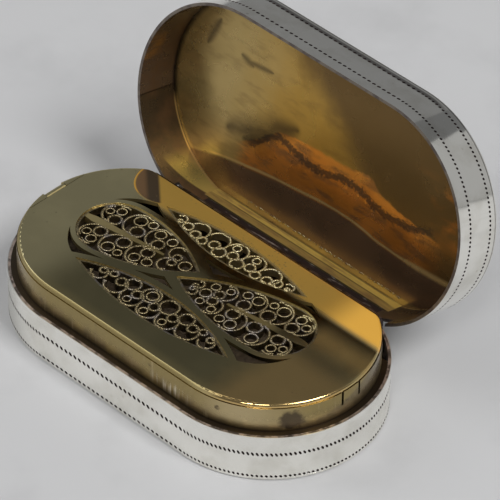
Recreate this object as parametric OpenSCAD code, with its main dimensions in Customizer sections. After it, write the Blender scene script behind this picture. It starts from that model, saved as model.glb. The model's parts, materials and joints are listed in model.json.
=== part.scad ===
// Vinaigrette: a flat box with half-round ends, a flush hinged lid and a hinged filigree grille.
// X runs along the length, the hinge is at +Y, Z is up. The origin is the middle of the foot.

/* [Case] */
// Overall length of the case
case_len = 38; // [34:0.5:44]
// Overall width of the case
case_w = 20.8; // [20:0.1:23]
// Height of the base from its foot to its rim
base_h = 4.85; // [4.6:0.05:6]
// Height of the lid from its rim to its top
lid_h = 4.8; // [4.6:0.05:6]
// Thickness of the strip that makes the side walls
wall_t = 0.28; // [0.2:0.01:0.5]
// Thickness of the top and bottom sheets
sheet_t = 0.3; // [0.25:0.01:0.6]
// Radius on the outer edge of the top and bottom sheets
sheet_edge = 0.2; // [0.1:0.01:0.24]
// Gap between the two rims when the lid is shut
rim_gap = 0.06; // [0.04:0.01:0.2]

/* [Lid hinge] */
// Outside diameter of the hinge tubes
tube_d = 1.7; // [1.5:0.05:1.8]
// How far the tubes lie inside the outer face of the rear wall
tube_sink = 0.02; // [0.01:0.01:0.1]
// Diameter of the hinge pin
pin_d = 0.8; // [0.6:0.05:0.9]
// Angle at which the open lid stops
lid_open = 103.6; // [95:0.1:110]
// Gap left at the stop and between the tubes and the bearers
hinge_gap = 0.05; // [0.03:0.01:0.1]
// Radial gap of a tube that turns on a pin
run_gap = 0.03; // [0.02:0.01:0.06]
// Radial gap of a tube or lug in which a pin is held
hold_gap = 0.01; // [0.01:0.005:0.02]
// Thickness of the base's bearer bar
bearer_t = 0.6; // [0.4:0.05:0.9]
// Thickness of the lid's bearer strip
strip_t = 0.33; // [0.25:0.01:0.4]
// Height of the thick upper part of the lid's bearer strip
strip_h = 1.85; // [1.2:0.05:2.2]
// Thickness of the thin lower part of the lid's bearer strip
leaf_t = 0.2; // [0.15:0.01:0.24]

/* [Bezel] */
// Distance from the outer face of the wall to the bezel
bezel_inset = 0.81; // [0.75:0.01:1]
// Thickness of the bezel strip
bezel_t = 0.35; // [0.25:0.01:0.5]
// Height of the bezel above the base's rim
bezel_rise = 2.5; // [2:0.05:2.6]
// Distance from the rear outer face to the flat rear of the bezel
rear_set = 2.1; // [2.05:0.05:2.6]
// Radius of the bezel's two rear corners
bezel_corner = 1.7; // [1.4:0.05:2.2]
// Width of the spring tongue at the bezel's right end
tongue_w = 2; // [1.2:0.1:3]
// Depth of the two slits beside the tongue
slit_h = 1.4; // [0.8:0.1:1.8]
// Width of each slit
slit_w = 0.22; // [0.15:0.01:0.3]

/* [Grille plate] */
// Thickness of the plate
plate_t = 0.38; // [0.3:0.02:0.5]
// Radius on the plate's upper edge
plate_edge = 0.3; // [0.15:0.01:0.3]
// How far the plate's edge lies inside the bezel's outer face
plate_inset = 0.08; // [0.05:0.01:0.15]
// How far the plate's straight rear edge lies inside the bezel's rear face
plate_rear_inset = 0.3; // [0.1:0.05:0.4]
// Gap between the plate and the bezel that it rests on
seat_gap = 0.03; // [0.02:0.01:0.06]
// Diameter of the grille's hinge tube
small_tube_d = 0.56; // [0.5:0.02:0.6]
// Diameter of the grille's hinge pin
small_pin_d = 0.24; // [0.2:0.02:0.26]
// Length of the grille's hinge tube
small_tube_len = 2.2; // [1.6:0.1:2.6]
// Length of each lug beside the tube
lug_len = 2.05; // [1.6:0.05:2.1]
// Gap between the grille's hinge and its lugs
small_gap = 0.05; // [0.03:0.01:0.08]

/* [Pierced field] */
// Metal left between the pierced field and each end of the plate
field_margin = 4.96; // [4.4:0.02:5.6]
// Metal left between the pierced field and the plate's front
field_side = 2.81; // [2.4:0.01:3]
// Radius of the field's two ends
field_end = 5.2; // [4.8:0.05:5.6]
// How far the field lies to the left of the middle
field_shift = 0.6; // [0:0.1:0.8]
// Radius of a lobe's round end
lobe_r = 3.45; // [3.2:0.05:3.7]
// Metal between a lobe and the end of the field
lobe_margin = 0.15; // [0.1:0.05:0.3]
// How far each lobe's tip runs past the crossing of the ribs
lobe_past = 0.6; // [0.4:0.1:0.8]
// Angle that each lobe is turned about its round end
lobe_turn = 5; // [3:0.5:6]
// Angle between the line of the two lobes and the length
lobe_tilt = 1.5; // [0:0.25:2]
// How far the crossing lies to the left of the field's middle
cross_shift = 0.8; // [0.4:0.1:1]
// How far the crossing lies to the rear of the middle line
cross_rise = 0.3; // [0:0.05:0.35]
// Width of the rib round a lobe's end
rib_end = 0.45; // [0.3:0.05:0.55]
// How far a rib runs on past its lobe's tip
rib_run = 1.8; // [1.4:0.1:2.2]
// Distance from the crossing to a lens cell
lens_in = 3.05; // [2.9:0.05:3.2]
// Radius of a lens cell's inner side as a share of the field's length
lens_bow = 0.742; // [0.7:0.002:0.9]
// Width of the rib along a lens cell
lens_rib = 0.6; // [0.4:0.05:0.7]

/* [Filigree] */
// Thickness of the flat wire
wire_t = 0.24; // [0.16:0.01:0.28]
// Height of the flat wire
wire_h = 0.7; // [0.4:0.05:1]
// How far the wire lies below the plate's upper face
wire_drop = 0.12; // [0.05:0.01:0.2]
// Most scrolls on each side of a lobe
lobe_scrolls = 5; // [3:1:5]
// Spacing of the scrolls in a lobe
lobe_pitch = 2.5; // [2.2:0.1:2.8]
// Scrolls in a lens cell
lens_scrolls = 7; // [5:1:8]
// Spacing of the scrolls in a lens cell
lens_pitch = 2.15; // [1.9:0.05:2.4]
// Radius of a curl as a share of its scroll
curl_share = 0.46; // [0.4:0.01:0.55]
// Angle at which a lobe's scroll starts from its curl
lobe_start = -115; // [-130:5:-90]
// Angle through which a lobe's scroll runs
lobe_sweep = 230; // [200:5:260]
// Angle at which a lens cell's scroll starts from its curl
lens_start = -80; // [-100:5:-60]
// Angle through which a lens cell's scroll runs
lens_sweep = 250; // [220:5:270]
// Width of a lobe's leaf at its round end
spine_w = 0.9; // [0.6:0.05:1.1]
// Length of a lobe's leaf
spine_len = 8.6; // [7:0.1:9.4]

/* [Sponge] */
// Height of the sponge
sponge_h = 2.9; // [2:0.1:3.4]
// Gap round the sponge
sponge_gap = 0.3; // [0.2:0.05:0.6]
// Radius on the sponge's upper edge
sponge_edge = 0.8; // [0.4:0.1:0.8]

/* [Hidden] */
$fn = 96;
// Facets on the long arcs of the pierced field
long_fn = 240;
// Extra length that carries a cut clear of a face
over = 0.5;
// How much fuller a rear corner is than an exact blend
corner_ease = 0.01;
// Case outline: half-round ends of radius case_r, their centres half_x from the middle
case_r = case_w / 2;
half_x = case_len / 2 - case_r;
// Lid hinge line, and the half length over which the walls are cut away for it
tube_r = tube_d / 2;
pin_r = pin_d / 2;
hinge_in = tube_r + tube_sink;
hinge_y = case_r - hinge_in;
lid_rim_z = base_h + rim_gap;
hinge_z = base_h + rim_gap / 2;
lid_top_z = lid_rim_z + lid_h;
hinge_half = half_x + sqrt(pow(case_r, 2) - pow(hinge_y, 2)) + 5 * hinge_gap;
notch_h = hinge_in * tan(lid_open / 2) + hinge_gap;
knuckle_count = 5;
knuckle_len = 2 * hinge_half / knuckle_count;
bearer_r = tube_r + 2 * hinge_gap;
// Bezel outline and heights
bezel_r = case_r - bezel_inset;
bezel_rear = case_r - rear_set;
bezel_top = base_h + bezel_rise;
wall_in = case_r - wall_t;
shoulder_lap = bezel_t / 2;
// Grille plate outline and heights
plate_r = bezel_r - plate_inset;
plate_rear = bezel_rear - plate_rear_inset;
plate_corner = bezel_corner - plate_inset;
plate_z = bezel_top + seat_gap;
plate_top = plate_z + plate_t;
// Grille hinge at the left end
small_tube_r = small_tube_d / 2;
small_pin_r = small_pin_d / 2;
small_axis_z = plate_top - small_tube_r;
lug_y = small_tube_len / 2 + small_gap;
lug_end = lug_y + lug_len;
lug_out = half_x + sqrt(pow(plate_r, 2) - pow(lug_end, 2));
small_axis_x = -lug_out - small_gap / 2;
lug_face = small_axis_x + small_tube_r;
plate_cut = lug_face + small_gap;
seat_z = small_axis_z - small_tube_r - 2 * small_gap;
small_pin_half = lug_y + lug_len / 2;
// Pierced field: a four-centre oval, its long sides of radius side_r about (0, -side_d)
field_len = 2 * (half_x + plate_r - field_margin);
field_w = 2 * (plate_r - field_side);
field_c = field_len / 2 - field_end;
side_gap = field_w / 2 - field_end;
side_d = (pow(field_c, 2) - pow(side_gap, 2)) / (2 * side_gap);
side_r = field_w / 2 + side_d;
lobe_c = field_len / 2 - lobe_margin - lobe_r;
right_tip = -cross_shift - lobe_past;
left_tip = cross_shift - lobe_past;
lens_r = lens_bow * field_len;
lens_c = lens_in + lens_r;
wire_z = plate_top - wire_drop - wire_h;
spine_from = field_len / 2 - lobe_margin - wire_t;
// How much smaller a scroll is than the place it sits in
scroll_ease = wire_t / 10;

silver = [0.86, 0.86, 0.84];
tarnish = [0.36, 0.34, 0.35];
gilt = [0.72, 0.6, 0.3];
dark_gilt = [0.55, 0.42, 0.2];
sponge_brown = [0.2, 0.15, 0.1];

// Centre of a rear corner of the bezel's outline
function corner_at(r, rear, corner) =
  [half_x + sqrt(pow(r - corner, 2) - pow(rear - corner, 2)), rear - corner];
// Distance from a lobe's middle line to its side arc's centre, for half height h and tip t
function flank_r(h, t) = (pow(lobe_c - t, 2) + h * h) / (2 * h);
// Tip of the right lobe (s = 0) or of the left lobe (s = 180), measured towards its round end
function tip_at(s) = s == 0 ? right_tip : left_tip;
// Half height at x of a lobe with its tip at t
function lobe_half(x, t) = x > lobe_c
  ? sqrt(pow(lobe_r, 2) - pow(x - lobe_c, 2))
  : sqrt(pow(flank_r(lobe_r, t), 2) - pow(lobe_c - x, 2)) - flank_r(lobe_r, t) + lobe_r;
// Half width of a lobe's leaf at x
function spine_half(x) = spine_w / 2 * max(0, 1 - (spine_from - x) / spine_len);
// Inner side at x of a lens cell drawn back by rise, and the outer side of either cell
function lens_low(x, rise) = lens_c + rise - sqrt(pow(lens_r, 2) - x * x);
function lens_high(x) = sqrt(pow(side_r, 2) - x * x) - side_d;
// Radius and centre of a lens cell's scroll at x
function lens_scroll_r(x, rise) = min(lens_pitch / 2, (lens_high(x) - lens_low(x, rise)) / 2 - wire_t);
function lens_scroll_y(x, rise) = lens_high(x) - wire_t - lens_scroll_r(x, rise);
// Radius of a ring that stands h below two scrolls of radius r, their centres 2 * a apart
function ring_between(h, a, r) = (h * h + a * a - r * r) / (2 * (h + r));

// Outline of the case with its side at radius r
module case_outline(r) {
  square([2 * half_x, 2 * r], center = true);
  for (s = [-1, 1]) translate([s * half_x, 0]) circle(r);
}

// Carries a section round the case: x = 0 is the side at radius r, y is the height
module round_case(r) {
  for (s = [0, 180]) rotate([0, 0, s]) {
    translate([half_x, 0, 0]) rotate([0, 0, -90]) rotate_extrude(angle = 180) translate([r, 0]) children();
    translate([half_x, -r, 0]) rotate([90, 0, -90]) linear_extrude(2 * half_x) children();
  }
}

// Outline of the bezel with its side at radius r: the case outline cut flat at the rear, both corners rounded
module bezel_outline(r, rear, corner) {
  difference() {
    case_outline(r);
    translate([-case_len, rear]) square([2 * case_len, case_w]);
    for (s = [0, 1]) mirror([s, 0]) difference() {
      corner_wedge(r, rear, corner);
      translate(corner_at(r, rear, corner)) circle(corner + corner_ease);
    }
  }
}

// Wedge outside a rear corner's centre, between the flat rear and the round end
module corner_wedge(r, rear, corner) {
  c = corner_at(r, rear, corner);
  reach = 2 * corner;
  ray = (c - [half_x, 0]) / norm(c - [half_x, 0]);
  polygon([c, c + [0, reach], c + [reach, reach], c + reach * ray]);
}

// Section of a strip of width w and height h, its upper outer edge rounded by e
module edge_section(w, h, e) {
  translate([-w, 0]) square([w - e, h]);
  translate([-w, 0]) square([w, h - e]);
  translate([-e, h - e]) intersection() {
    circle(e);
    square(e);
  }
}

// Slab that fills the case outline at radius r, its upper edge rounded
module case_slab(r, t, e) {
  round_case(r) edge_section(2 * e, t, e);
  linear_extrude(t) case_outline(r - 1.5 * e);
}

// Slab that fills the bezel's outline, its upper edge rounded
module bezel_slab(r, rear, corner, t, e) {
  difference() {
    intersection() {
      case_slab(r, t, e);
      translate([-case_len, rear, 0]) rotate([90, 0, 90]) linear_extrude(2 * case_len)
        edge_section(case_w, t, e);
    }
    for (s = [0, 1]) mirror([s, 0, 0]) difference() {
      translate([0, 0, -over]) linear_extrude(t + 2 * over) corner_wedge(r, rear, corner);
      translate(corner_at(r, rear, corner)) {
        rotate_extrude() translate([corner + corner_ease, 0]) edge_section(corner - e / 2, t, e);
        cylinder(r = e, h = t);
      }
    }
  }
}

// Opens the lid from its shut place
module lid_turned() {
  translate([0, hinge_y, hinge_z]) rotate([-lid_open, 0, 0]) translate([0, -hinge_y, -hinge_z]) children();
}

// Bar across the hinge, from one height to another
module hinge_band(y0, y1, z0, z1, half = hinge_half) {
  translate([-half, y0, z0]) cube([2 * half, y1 - y0, z1 - z0]);
}

// One hinge tube, counted from the left, with a foot down (-1) or up (1) to its bearer
module knuckle(i, bore_r, foot_y0, foot_y1, up) {
  x0 = -hinge_half + i * knuckle_len + hinge_gap / 2;
  len = knuckle_len - hinge_gap;
  foot_z = up > 0 ? hinge_z : hinge_z - bearer_r;
  difference() {
    union() {
      translate([x0, hinge_y, hinge_z]) rotate([0, 90, 0]) cylinder(r = tube_r, h = len);
      translate([x0, foot_y0, foot_z]) cube([len, foot_y1 - foot_y0, bearer_r]);
    }
    translate([x0 - over, hinge_y, hinge_z]) rotate([0, 90, 0]) cylinder(r = bore_r, h = len + 2 * over);
  }
}

// Base knuckle, its outer end trimmed to the case
module base_knuckle(i) {
  color(tarnish) intersection() {
    knuckle(i, pin_r + hold_gap, hinge_y - tube_r / 2, hinge_y + tube_r / 2, -1);
    translate([0, 0, base_h - lid_h]) linear_extrude(2 * lid_h) case_outline(case_r);
  }
}

module lid_knuckle(i) {
  color(tarnish) lid_turned() knuckle(i, pin_r + run_gap, wall_in - leaf_t, wall_in, 1);
}

module base_plate() {
  color(silver) mirror([0, 0, 1]) translate([0, 0, -sheet_t]) case_slab(case_r, sheet_t, sheet_edge);
}

module base_wall() {
  color(silver) difference() {
    round_case(case_r) translate([-wall_t, sheet_t]) square([wall_t, base_h - sheet_t]);
    hinge_band(bezel_rear, case_r + over, hinge_z - notch_h, base_h + over);
  }
}

module bezel() {
  color(gilt) difference() {
    union() {
      translate([0, 0, sheet_t]) linear_extrude(bezel_top - sheet_t) difference() {
        bezel_outline(bezel_r, bezel_rear, bezel_corner);
        bezel_outline(bezel_r - bezel_t, bezel_rear - bezel_t, bezel_corner - bezel_t);
      }
      bezel_shoulder();
    }
    tongue_slits();
    grille_hinge_seat();
  }
}

// Filling between the bezel and the wall, level with the rim, round the front and both ends
module bezel_shoulder() {
  shoulder_w = bezel_inset - wall_t + shoulder_lap;
  difference() {
    round_case(wall_in) translate([-shoulder_w, sheet_t]) square([shoulder_w, base_h - sheet_t]);
    hinge_band(bezel_rear - bezel_corner, case_r + over, sheet_t - over, base_h + over, case_len);
  }
}

module tongue_slits() {
  for (s = [-1, 1]) {
    translate([half_x, s * tongue_w / 2 - slit_w / 2, bezel_top - slit_h])
      cube([case_r, slit_w, slit_h + over]);
  }
}

// Level seat for the grille's lugs at the left end
module grille_hinge_seat() {
  translate([-case_len, -lug_end - small_gap, seat_z])
    cube([case_len + plate_cut, 2 * (lug_end + small_gap), bezel_rise]);
}

module base_hinge_bearer() {
  color(tarnish) intersection() {
    hinge_band(bezel_rear, case_r, hinge_z - bearer_r - bearer_t, hinge_z - bearer_r,
      hinge_half - 2 * hinge_gap);
    linear_extrude(base_h) case_outline(wall_in);
  }
}

module base_knuckle_left() {
  base_knuckle(0);
}

module base_knuckle_centre() {
  base_knuckle(2);
}

module base_knuckle_right() {
  base_knuckle(4);
}

module lid_hinge_pin() {
  color(tarnish) intersection() {
    translate([-hinge_half, hinge_y, hinge_z]) rotate([0, 90, 0]) cylinder(r = pin_r, h = 2 * hinge_half);
    linear_extrude(base_h + lid_h) case_outline(case_r);
  }
}

// Lug that completes the plate's outline beside the grille's hinge tube, front (-1) or rear (1)
module grille_lug(side) {
  color(gilt) difference() {
    intersection() {
      translate([0, 0, seat_z]) case_slab(plate_r, plate_top - seat_z, plate_edge);
      translate([-case_len, side > 0 ? lug_y : -lug_end, seat_z])
        cube([case_len + lug_face, lug_len, bezel_rise]);
    }
    small_bore(small_pin_r + hold_gap, lug_end);
  }
}

// Rod on the grille's hinge line
module small_bore(r, half) {
  translate([small_axis_x, half, small_axis_z]) rotate([90, 0, 0]) cylinder(r = r, h = 2 * half);
}

module grille_lug_front() {
  grille_lug(-1);
}

module grille_lug_rear() {
  grille_lug(1);
}

module grille_hinge_pin() {
  color(tarnish) small_bore(small_pin_r, small_pin_half);
}

module sponge() {
  color(sponge_brown) translate([0, 0, sheet_t])
    bezel_slab(bezel_r - bezel_t - sponge_gap, bezel_rear - bezel_t - sponge_gap, bezel_corner,
      sponge_h, sponge_edge);
}

module lid_plate() {
  color(silver) lid_turned() translate([0, 0, lid_top_z - sheet_t]) case_slab(case_r, sheet_t, sheet_edge);
}

module lid_wall() {
  color(silver) lid_turned() difference() {
    round_case(case_r) translate([-wall_t, lid_rim_z]) square([wall_t, lid_h - sheet_t]);
    hinge_band(bezel_rear, case_r + over, lid_rim_z - over, hinge_z + notch_h);
  }
}

module lid_hinge_bearer() {
  ceiling_z = lid_top_z - sheet_t;
  color(dark_gilt) lid_turned() intersection() {
    union() {
      hinge_band(wall_in - strip_t, case_r, ceiling_z - strip_h, ceiling_z);
      hinge_band(wall_in - leaf_t, case_r, hinge_z + bearer_r, ceiling_z - strip_h / 2);
    }
    linear_extrude(lid_top_z) case_outline(wall_in);
  }
}

module lid_knuckle_left() {
  lid_knuckle(1);
}

module lid_knuckle_right() {
  lid_knuckle(3);
}

// What is common to a shape and its mirror image across the length
module for_both_sides() {
  intersection() {
    children();
    mirror([0, 1]) children();
  }
}

// Lobe with half height h and its tip at x = t, drawn in by d
module lobe_outline(h, t, d = 0) {
  side = flank_r(h, t);
  translate([lobe_c, 0]) circle(h - d);
  intersection() {
    for_both_sides() translate([lobe_c, h - side]) circle(side - d, $fn = long_fn);
    translate([t - lobe_c, -2 * h]) square([2 * lobe_c - t, 4 * h]);
  }
}

// Places a lobe's work in the field, at the right (s = 0) or turned round to the left (s = 180)
module lobe_place(s) {
  translate([0, cross_rise]) rotate(lobe_tilt + s)
    translate([lobe_c, 0]) rotate(lobe_turn) translate([-lobe_c, 0]) children();
}

// Lens cell at the rear, its inner side drawn back by rise, and all drawn in by d
module lens_outline(rise, d = 0) {
  intersection() {
    field_outline(d);
    translate([0, lens_c + rise]) circle(lens_r - d, $fn = long_fn);
  }
}

// Oval of the pierced field, drawn in by d
module field_outline(d = 0) {
  reach = field_c * (side_r - d) / (side_r - field_end);
  for (s = [-1, 1]) translate([s * field_c, 0]) circle(field_end - d);
  intersection() {
    for_both_sides() translate([0, -side_d]) circle(side_r - d, $fn = long_fn);
    square([2 * reach, case_w], center = true);
  }
}

// The six plain openings left between the ribs
module spandrels() {
  difference() {
    field_outline();
    for (s = [0, 180]) lobe_place(s) lobe_outline(lobe_r + rib_end, tip_at(s) - rib_run);
    for (s = [-1, 1]) translate([0, s * lens_c + cross_rise]) circle(lens_r + lens_rib, $fn = long_fn);
  }
}

module grille_frame() {
  color(gilt) difference() {
    translate([0, 0, plate_z]) bezel_slab(plate_r, plate_rear, plate_corner, plate_t, plate_edge);
    translate([-field_shift, 0, plate_z - over]) linear_extrude(plate_t + 2 * over) {
      for (s = [0, 180]) lobe_place(s) lobe_outline(lobe_r, tip_at(s));
      lens_outline(cross_rise);
      mirror([0, 1]) lens_outline(-cross_rise);
      spandrels();
    }
    translate([-case_len, -lug_end - small_gap, plate_z - over])
      cube([case_len + plate_cut, 2 * (lug_end + small_gap), plate_t + 2 * over]);
  }
}

module grille_knuckle() {
  color(gilt) difference() {
    union() {
      small_bore(small_tube_r, small_tube_len / 2);
      translate([small_axis_x, -small_tube_len / 2, plate_z])
        cube([plate_cut - small_axis_x, small_tube_len, small_tube_r]);
    }
    small_bore(small_pin_r + run_gap, small_tube_len);
  }
}

// Sets filigree at its height in the plate
module in_field() {
  translate([-field_shift, 0, wire_z]) linear_extrude(wire_h) children();
}

module lobe_wire(s) {
  color(gilt) in_field() lobe_place(s) difference() {
    lobe_outline(lobe_r, tip_at(s));
    lobe_outline(lobe_r, tip_at(s), wire_t);
  }
}

module lens_wire(rise) {
  color(gilt) in_field() difference() {
    lens_outline(rise);
    lens_outline(rise, wire_t);
  }
}

// Wire bent to a ring of radius r
module ring(r) {
  difference() {
    circle(r + wire_t / 2);
    circle(r - wire_t / 2);
  }
}

// Wire bent to an arc of radius r from angle a through a sweep
module wire_arc(r, a, sweep) {
  steps = ceil(sweep / 45);
  intersection() {
    ring(r);
    polygon(concat([[0, 0]],
      [for (k = [0:steps]) 2 * r * [cos(a + sweep * k / steps), sin(a + sweep * k / steps)]]));
  }
}

// Scroll of radius r: an arc through a sweep from angle a, closed at its start by a curl
module scroll(r, a, sweep) {
  curl_r = r * curl_share;
  wire_arc(r, a, sweep);
  translate((r - curl_r + wire_t / 4) * [cos(a), sin(a)]) ring(curl_r);
}

// Scrolls on one side of a lobe with its tip at t, as far as the lobe is wide enough for them
module lobe_scroll_row(t) {
  for (i = [0:lobe_scrolls - 1]) {
    x = lobe_c + lobe_r / 3 - i * lobe_pitch;
    low = spine_half(x);
    r = (lobe_half(x, t) - wire_t - low) / 2;
    if (r > 2 * wire_t) translate([x, low + r]) scroll(r - scroll_ease, lobe_start, lobe_sweep);
  }
}

// Flat leaf down the middle of a lobe
module spine_outline() {
  polygon([
    [spine_from, spine_w / 4], [spine_from - spine_w, spine_half(spine_from - spine_w)],
    [spine_from - spine_len, wire_t / 2], [spine_from - spine_len, -wire_t / 2],
    [spine_from - spine_w, -spine_half(spine_from - spine_w)], [spine_from, -spine_w / 4]
  ]);
}

module lobe_filigree(s) {
  color(gilt) in_field() lobe_place(s) difference() {
    intersection() {
      lobe_outline(lobe_r, tip_at(s), wire_t);
      for (side = [0, 1]) mirror([0, side]) lobe_scroll_row(tip_at(s));
    }
    spine_outline();
  }
}

// Scrolls along the outer side of a lens cell, with a ring between each two along its inner side
module lens_filigree(rise) {
  color(gilt) in_field() intersection() {
    lens_outline(rise, wire_t);
    union() {
      for (i = [0:lens_scrolls - 1]) {
        x = (i - (lens_scrolls - 1) / 2) * lens_pitch;
        r = lens_scroll_r(x, rise) - scroll_ease;
        translate([x, lens_scroll_y(x, rise)]) scroll(r, lens_start, lens_sweep);
      }
      for (i = [1:lens_scrolls - 1]) {
        x = (i - lens_scrolls / 2) * lens_pitch;
        low = lens_low(x, rise) + wire_t;
        reach = lens_scroll_r(x, rise) - scroll_ease - wire_t / 2;
        r = ring_between(lens_scroll_y(x, rise) - low, lens_pitch / 2, reach);
        translate([x, low + r]) ring(r);
      }
    }
  }
}

module lobe_spine(s) {
  color(dark_gilt) in_field() lobe_place(s) intersection() {
    spine_outline();
    lobe_outline(lobe_r, tip_at(s), wire_t);
  }
}

module left_lobe_wire() {
  lobe_wire(180);
}

module right_lobe_wire() {
  lobe_wire(0);
}

module rear_lens_wire() {
  lens_wire(cross_rise);
}

module front_lens_wire() {
  mirror([0, 1, 0]) lens_wire(-cross_rise);
}

module left_lobe_scrolls() {
  lobe_filigree(180);
}

module right_lobe_scrolls() {
  lobe_filigree(0);
}

module rear_lens_scrolls() {
  lens_filigree(cross_rise);
}

module front_lens_scrolls() {
  mirror([0, 1, 0]) lens_filigree(-cross_rise);
}

module left_lobe_spine() {
  lobe_spine(180);
}

module right_lobe_spine() {
  lobe_spine(0);
}

base_plate();
base_wall();
bezel();
base_hinge_bearer();
base_knuckle_left();
base_knuckle_centre();
base_knuckle_right();
lid_hinge_pin();
grille_lug_front();
grille_lug_rear();
grille_hinge_pin();
sponge();
lid_plate();
lid_wall();
lid_hinge_bearer();
lid_knuckle_left();
lid_knuckle_right();
grille_frame();
grille_knuckle();
left_lobe_wire();
right_lobe_wire();
rear_lens_wire();
front_lens_wire();
left_lobe_scrolls();
right_lobe_scrolls();
rear_lens_scrolls();
front_lens_scrolls();
left_lobe_spine();
right_lobe_spine();
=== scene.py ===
import json
import math
import random

import bmesh
import bpy
from mathutils import Matrix, Vector, bvhtree, geometry, kdtree, noise


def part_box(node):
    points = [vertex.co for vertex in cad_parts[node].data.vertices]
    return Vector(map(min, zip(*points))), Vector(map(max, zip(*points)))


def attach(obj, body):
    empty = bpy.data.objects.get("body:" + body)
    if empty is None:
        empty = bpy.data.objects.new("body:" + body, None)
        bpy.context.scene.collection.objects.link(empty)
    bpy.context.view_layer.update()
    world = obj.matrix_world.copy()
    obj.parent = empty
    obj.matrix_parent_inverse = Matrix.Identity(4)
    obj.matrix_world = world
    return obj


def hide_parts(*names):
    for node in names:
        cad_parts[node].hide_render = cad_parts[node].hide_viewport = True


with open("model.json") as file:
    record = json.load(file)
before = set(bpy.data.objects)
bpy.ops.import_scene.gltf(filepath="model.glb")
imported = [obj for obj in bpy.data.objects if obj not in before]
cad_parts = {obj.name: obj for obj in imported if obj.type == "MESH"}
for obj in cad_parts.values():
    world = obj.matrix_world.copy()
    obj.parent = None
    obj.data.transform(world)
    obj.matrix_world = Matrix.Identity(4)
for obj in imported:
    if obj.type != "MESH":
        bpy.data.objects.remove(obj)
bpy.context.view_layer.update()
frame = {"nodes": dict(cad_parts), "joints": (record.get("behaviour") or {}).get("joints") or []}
scene = bpy.context.scene
mm = 0.001

# the lid's hinge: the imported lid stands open, and its pieces are shaped in the shut place
lidJoint = next(joint for joint in frame["joints"] if joint["name"] == "lid_hinge")
lidLine = Vector(lidJoint["pos_m"]) / mm
lidAngle = math.radians(lidJoint["range_deg"][1])
openLid = Matrix.Translation(lidLine) @ Matrix.Rotation(-lidAngle, 4, "X") @ Matrix.Translation(-lidLine)
shutLid = openLid.inverted()
inPlace = Matrix.Identity(4)


def nodePoints(node, toShut=inPlace):
    return [toShut @ (v.co / mm) for v in frame["nodes"][node].data.vertices]


def caseRadius(point):  # distance out from the spine between the two round ends
    return math.hypot(max(abs(point.x) - case["halfX"], 0), point.y)


# sizes of the case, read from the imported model, in millimetres
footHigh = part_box("base_plate")[1] / mm
case = {"radius": footHigh.y, "halfX": footHigh.x - footHigh.y}
baseWall = nodePoints("base_wall")
lidWall = nodePoints("lid_wall", shutLid)
case["inside"] = min(caseRadius(p) for p in baseWall)
case["rim"] = max(p.z for p in baseWall)
case["ceiling"] = max(p.z for p in lidWall)
print("frame loaded:", len(frame["nodes"]), "nodes,", {key: round(value, 2) for key, value in case.items()})


# small helpers for pieces and node trees
def newObject(name, bm, *materials):
    mesh = bpy.data.meshes.new(name)
    bm.to_mesh(mesh)
    bm.free()
    for material in materials:
        mesh.materials.append(material)
    made = bpy.data.objects.new(name, mesh)
    scene.collection.objects.link(made)
    return made


def newPiece(name, bm, body, materials, smoothAngle=40):
    for face in bm.faces:
        face.smooth = True
    sharp = math.radians(smoothAngle)
    for edge in bm.edges:
        edge.smooth = len(edge.link_faces) == 2 and edge.calc_face_angle(math.pi) < sharp
    piece = newObject(name, bm, *materials)
    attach(piece, body)
    return piece


def rgb(red, green, blue):
    return (red, green, blue, 1.0)


patternForm = {
    "roughness": 0.55,
    "speckCore": 0.4,    # share of a speck's size that is at full strength
    "bump": 0.6,
}


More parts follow.
